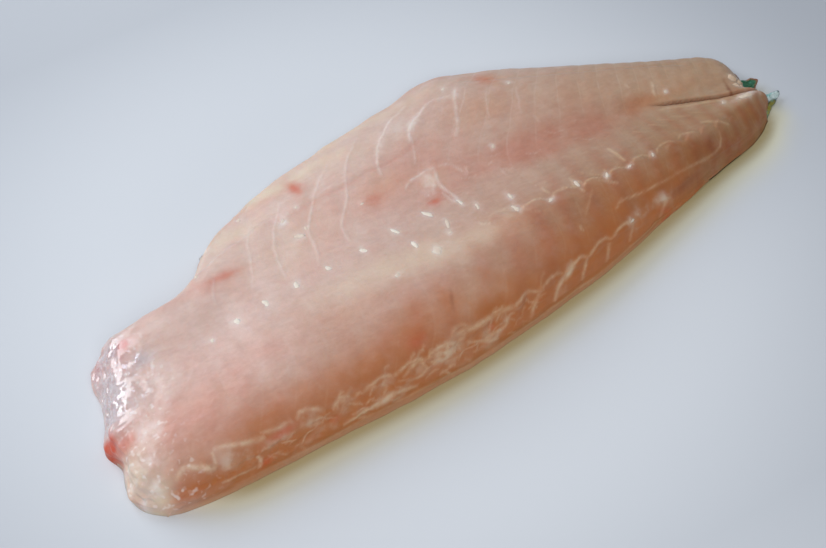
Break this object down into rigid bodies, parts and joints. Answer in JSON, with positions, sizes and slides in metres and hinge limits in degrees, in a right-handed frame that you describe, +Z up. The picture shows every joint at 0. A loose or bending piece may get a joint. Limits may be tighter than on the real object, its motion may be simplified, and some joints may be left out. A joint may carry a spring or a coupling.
{
  "type": "fish fillet",
  "caption": "Raw skin-on fish side fillet lying skin side down, thick along the back, thin at the belly and cleft at the tail.",
  "frame": {"origin": "centre of the fillet's bounding box in plan, on the surface it lies on", "axes": "+X from the cut behind the head to the tail, +Y from the back edge to the belly edge, +Z up"},
  "size_m": [0.302, 0.1264, 0.0204],
  "materials": {
    "flesh": "wet, pale pink-beige raw flesh",
    "skin": "wet green-silver fish skin"
  },
  "bodies": {
    "root": {"flesh": "flesh", "skin": "skin"}
  },
  "joints": []
}
